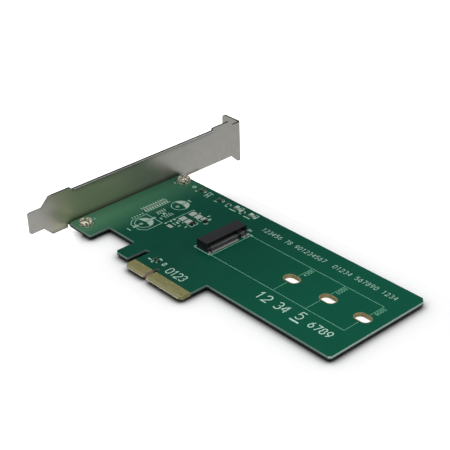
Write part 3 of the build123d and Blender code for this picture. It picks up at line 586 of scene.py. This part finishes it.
def can_print():
    """Two round places for upright parts, half filled, the lower one in a square with two cut corners."""
    p = Print("print_round_places")
    fills = Print("print_half_discs", FILL)
    for x, y in ((-33.85, 47.3), (-33.2, 26.5)):
        p.ring(x, y, 4.0, 0.26)
        fills.half_disc(x, y + 0.1, 3.9, 0.85, 1.7)
    fills.finish()
    p.path([(-34.2, 31.9), (-38.3, 31.9), (-38.3, 23.9), (-36.0, 21.5), (-34.1, 21.5)], 0.26)
    p.path([(-32.2, 31.9), (-27.5, 31.9), (-27.5, 23.7), (-30.0, 21.4), (-32.1, 21.4)], 0.26)
    p.lines(((-34.4, 18.4), (-32.2, 18.4), 0.45), ((-34.8, 52.7), (-33.0, 52.7), 0.45))
    p.finish()


def column_print():
    """Ticks beside the column of chips and beside the square place."""
    p = Print("print_ticks")
    p.line((-39.6, 33.4), (-39.6, 46.6), 0.24)
    for i in range(10):
        y = 45.35 - i * 1.32
        p.line((-40.5, y), (-39.8, y), 0.42)
        p.line((-43.9, y), (-43.3, y), 0.42)
    for i in range(5):
        p.line((-40.2, 31.0 - i * 1.4), (-39.5, 31.0 - i * 1.4), 0.4)
    p.finish()


def place_print():
    """Outlines of the unpopulated flat place and of the parts between the bracket and the socket."""
    p = Print("print_part_outlines")
    for i in range(4):
        y = MODULE_Y - 2.5 + (i - 1.5) * 1.27
        p.line((-35.2, y - 0.55), (-34.0, y - 0.55), 0.21)
        p.line((-32.6, y - 0.55), (-31.6, y - 0.55), 0.21)
    p.rect(-33.8, 37.0, -32.6, 38.2)
    p.rect(-32.5, 35.4, -31.6, 36.0)
    p.line((-31.4, 34.0), (-30.2, 34.0), 0.49)
    p.path([(-26.6, 32.2), (-26.6, 48.4), (-25.6, 48.9)], 0.21)
    p.lines(((-26.5, 37.5), (-25.9, 37.5), 0.77), ((-26.5, 35.6), (-25.9, 35.6), 0.63),
            ((-26.3, 33.2), (-26.3, 32.4), 0.42), ((-22.6, 49.0), (-22.0, 48.6), 0.42),
            ((-17.9, 49.4), (-17.7, 50.2), 0.56))
    p.digits("6", -15.9, 47.4, 1.7, width=0.36)
    p.path([(-19.2, 44.3), (-16.4, 44.3)], 0.28)
    p.path([(-19.0, 42.4), (-16.1, 42.4), (-16.1, 38.6), (-19.2, 38.6)], 0.24)
    p.lines(((-17.9, 37.2), (-17.7, 36.4), 0.49), ((-14.3, 44.1), (-13.4, 44.9), 0.42))
    p.digits("17", -24.7, 37.3, 1.0, width=0.3)
    p.rect(-23.8, 36.2, -22.2, 37.0)
    p.lines(((-24.3, 35.0), (-22.2, 35.0), 0.35), ((-20.6, 36.3), (-20.4, 34.8), 0.35),
            ((-21.8, 38.6), (-21.2, 38.0), 0.35))
    p.finish()


def edge_row_print():
    """Marks along the upper edge: part numbers and the two lights' frames."""
    p = Print("print_upper_row")
    p.ring(-42.3, 62.7, 0.75, 0.4)
    p.lines(((-39.4, 60.7), (-38.3, 60.7), 0.35), ((-32.9, 60.3), (-33.2, 63.2), 0.39),
            ((-31.1, 60.1), (-31.5, 63.2), 0.39), ((-33.4, 64.2), (-30.8, 63.9), 0.35),
            ((-32.9, 61.7), (-31.3, 61.7), 0.28), ((-26.3, 60.6), (-25.0, 60.6), 0.39))
    for x in (-13.7, -4.6):
        p.lines(((x - 6.1, 60.9), (x - 4.9, 60.9), 0.42), ((x - 6.1, 61.0), (x - 6.3, 62.6), 0.28),
                ((x - 2.6, 60.5), (x + 0.6, 60.7), 0.52))
        p.rect(x + 1.95, 61.9, x + 2.45, 65.2)
        p.line((x + 0.4, 65.0), (x + 2.2, 65.0), 0.24)
    p.finish()


def lower_mark_print():
    """A mark beside each screw and four beside the two chips by the tongue."""
    p = Print("print_lower_marks")
    p.lines(((-51.5, 13.6), (-50.4, 13.3), 0.35), ((-52.0, 59.0), (-50.8, 58.9), 0.35),
            ((-9.2, 9.9), (-7.9, 9.9), 0.6), ((-6.7, 9.3), (-5.9, 8.9), 0.5),
            ((-5.4, 12.9), (-4.3, 12.7), 0.7), ((-5.0, 11.9), (-4.2, 11.7), 0.5))
    p.finish()


bay_print()
socket_print()
plain_number_print()
can_print()
column_print()
place_print()
edge_row_print()
lower_mark_print()


# Solder at the ends of the small parts

def wedge(bm, x, y, direction, width, height, steps=4):
    """A hollow-faced solder fillet that climbs a metal end; direction is +X, -X, +Y or -Y as a pair."""
    dx, dy = direction
    profile = [(0.0, 0.0)]
    for i in range(steps + 1):
        a = math.radians(90 * i / steps)
        profile.append((SOLDER_REACH * (1 - math.sin(a)), height * (1 - math.cos(a))))
    rows = []
    for side in (-width / 2, width / 2):
        rows.append([bm.verts.new(((x + u * dx - side * dy) * MM, (y + u * dy + side * dx) * MM,
                                   (PAD_TOP + v) * MM)) for u, v in profile])
    bm.faces.new(rows[0])
    bm.faces.new(reversed(rows[1]))
    for i in range(len(profile)):
        j = (i + 1) % len(profile)
        bm.faces.new((rows[0][j], rows[0][i], rows[1][i], rows[1][j]))


def solder_piece():
    """A fillet at both ends of each chip, resistor and light."""
    bm = bmesh.new()
    names = [f"chip_{i}" for i in range(1, 15)] + ["led_resistor_1", "led_resistor_2", "led_1", "led_2"]
    for name in names:
        low, high = (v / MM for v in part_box(name))
        middle = (low + high) / 2
        size = high - low
        top = 0.3 if size.z < LOW_PART else 0.42
        if size.x > size.y:
            wedge(bm, high.x, middle.y, (1, 0), size.y, top)
            wedge(bm, low.x, middle.y, (-1, 0), size.y, top)
        else:
            wedge(bm, middle.x, high.y, (0, 1), size.x, top)
            wedge(bm, middle.x, low.y, (0, -1), size.x, top)
    add_piece(bm, "solder_fillets", SOLDER)


solder_piece()


# Floor, camera and light

def white_ground(name, outline, z, power, glow_level, bright=None, fade=False):
    """A pale plane that keeps the card's shadow, deepened by the power where the card is close above it.
    The camera sees it lighter by the glow level, and white on the bright stretch, a painted glow given as
    two spans along X and Y; a fading plane thins out to nothing at its border beside the bracket."""
    mesh = bpy.data.meshes.new(name)
    mesh.from_pydata([(x * MM, y * MM, z * MM) for x, y in outline], [], [range(len(outline))])
    piece = bpy.data.objects.new(name, mesh)
    bpy.context.scene.collection.objects.link(piece)
    n = Nodes(name)
    n.tree.nodes.remove(n.shader)
    x, y = n.axis("X"), n.axis("Y")
    diffuse = n.add("ShaderNodeBsdfDiffuse")
    near = n.add("ShaderNodeAmbientOcclusion")
    near.inputs["Distance"].default_value = SHADOW_REACH * MM
    pale = n.mix(n.math("POWER", near.outputs["AO"], power), (0, 0, 0, 1), (0.97, 0.97, 0.975, 1))
    n.link(pale, diffuse.inputs["Color"])
    seen = n.add("ShaderNodeLightPath").outputs["Is Camera Ray"]
    level = n.times(seen, glow_level)
    if bright:
        inside = n.times(n.between(x, *bright[0]), n.between(y, *bright[1]))
        level = n.plus(level, n.times(inside, seen))
    glow = n.add("ShaderNodeEmission")
    n.link(level, glow.inputs["Strength"])
    both = n.add("ShaderNodeAddShader")
    n.link(diffuse.outputs[0], both.inputs[0])
    n.link(glow.outputs[0], both.inputs[1])
    shader = both.outputs[0]
    if fade:
        # the distance in from the border toward the bracket and from two slanting lines at its corners
        left = n.times(n.plus(x, 57 * MM), 0.6)
        upper = n.times(n.plus(n.math("SUBTRACT", x, y), 122 * MM), 0.25)
        lower = n.times(n.plus(n.plus(x, y), 57 * MM), 0.35)
        inward = n.math("MINIMUM", n.math("MINIMUM", left, upper), lower)
        thin = n.add("ShaderNodeMixShader")
        n.link(n.ramp(inward, 0, 1, 0, 5 * MM), thin.inputs[0])
        n.link(n.add("ShaderNodeBsdfTransparent").outputs[0], thin.inputs[1])
        n.link(shader, thin.inputs[2])
        shader = thin.outputs[0]
    n.link(shader, n.out.inputs["Surface"])
    mesh.materials.append(n.material)


def floor():
    """The board lies over a pale plate, its bracket past the plate's edge, above a floor further down."""
    plate = [(-57, -9), (110, -9), (110, 78), (-57, 78)]
    # the bright stretch is a painted glow on the plate under the board, white where the board's shadow
    # falls
    white_ground("plate", plate, PLATE_Z, power=1.6, glow_level=0.0, bright=((20, 84.5), (36, 56)),
                 fade=True)
    side = 3000
    ground = [(-side, -side), (side, -side), (side, side), (-side, side)]
    white_ground("ground", ground, GROUND_Z, power=1.1, glow_level=0.9)


def world(low, high):
    """A studio as bright as low all round, rising to high overhead; the camera sees it white."""
    sky = bpy.data.worlds.new("sky")
    bpy.context.scene.world = sky
    sky.use_nodes = True
    tree = sky.node_tree
    tree.nodes.clear()

    def span(value, start, end):
        """A node that maps the value from the span start to end."""
        node = tree.nodes.new("ShaderNodeMapRange")
        node.inputs["From Min"].default_value = start
        node.inputs["From Max"].default_value = end
        tree.links.new(value, node.inputs["Value"])
        return node

    place = tree.nodes.new("ShaderNodeTexCoord")
    axes = tree.nodes.new("ShaderNodeSeparateXYZ")
    tree.links.new(place.outputs["Generated"], axes.inputs[0])
    rise = span(axes.outputs["Z"], 0.45, 0.9)
    rise.inputs["To Min"].default_value = low
    rise.inputs["To Max"].default_value = high
    level = span(tree.nodes.new("ShaderNodeLightPath").outputs["Is Camera Ray"], 0, 1)
    tree.links.new(rise.outputs[0], level.inputs["To Min"])
    level.inputs["To Max"].default_value = 1.0
    back = tree.nodes.new("ShaderNodeBackground")
    back.inputs["Color"].default_value = (1, 1, 1, 1)
    tree.links.new(level.outputs[0], back.inputs["Strength"])
    out = tree.nodes.new("ShaderNodeOutputWorld")
    tree.links.new(back.outputs[0], out.inputs["Surface"])


def lamp(name, place, target, size, power):
    """A square soft light, in metres and watts, that faces its target."""
    data = bpy.data.lights.new(name, "AREA")
    data.shape = "SQUARE"
    data.size = size
    data.energy = power
    piece = bpy.data.objects.new(name, data)
    bpy.context.scene.collection.objects.link(piece)
    piece.location = place
    piece.rotation_mode = "QUATERNION"
    piece.rotation_quaternion = (Vector(target) - Vector(place)).to_track_quat("-Z", "Y")


def camera():
    """The photograph's view, fitted to the card's standard sizes."""
    data = bpy.data.cameras.new("camera")
    data.sensor_width = 36.0
    data.lens = 98.36
    data.clip_start = 0.01
    data.clip_end = 20
    piece = bpy.data.objects.new("camera", data)
    bpy.context.scene.collection.objects.link(piece)
    piece.location = Vector((333.75, -244.95, 262.54)) * MM
    piece.rotation_euler = Euler([math.radians(v) for v in (59.770, 1.714, 48.167)], "XYZ")
    bpy.context.scene.camera = piece


floor()
world(low=0.06, high=0.45)
lamp("overhead", place=(0.12, -0.1, 0.9), target=(0.0, 0.03, 0.0), size=1.7, power=13.8)
camera()
bpy.context.scene.view_settings.view_transform = "Standard"
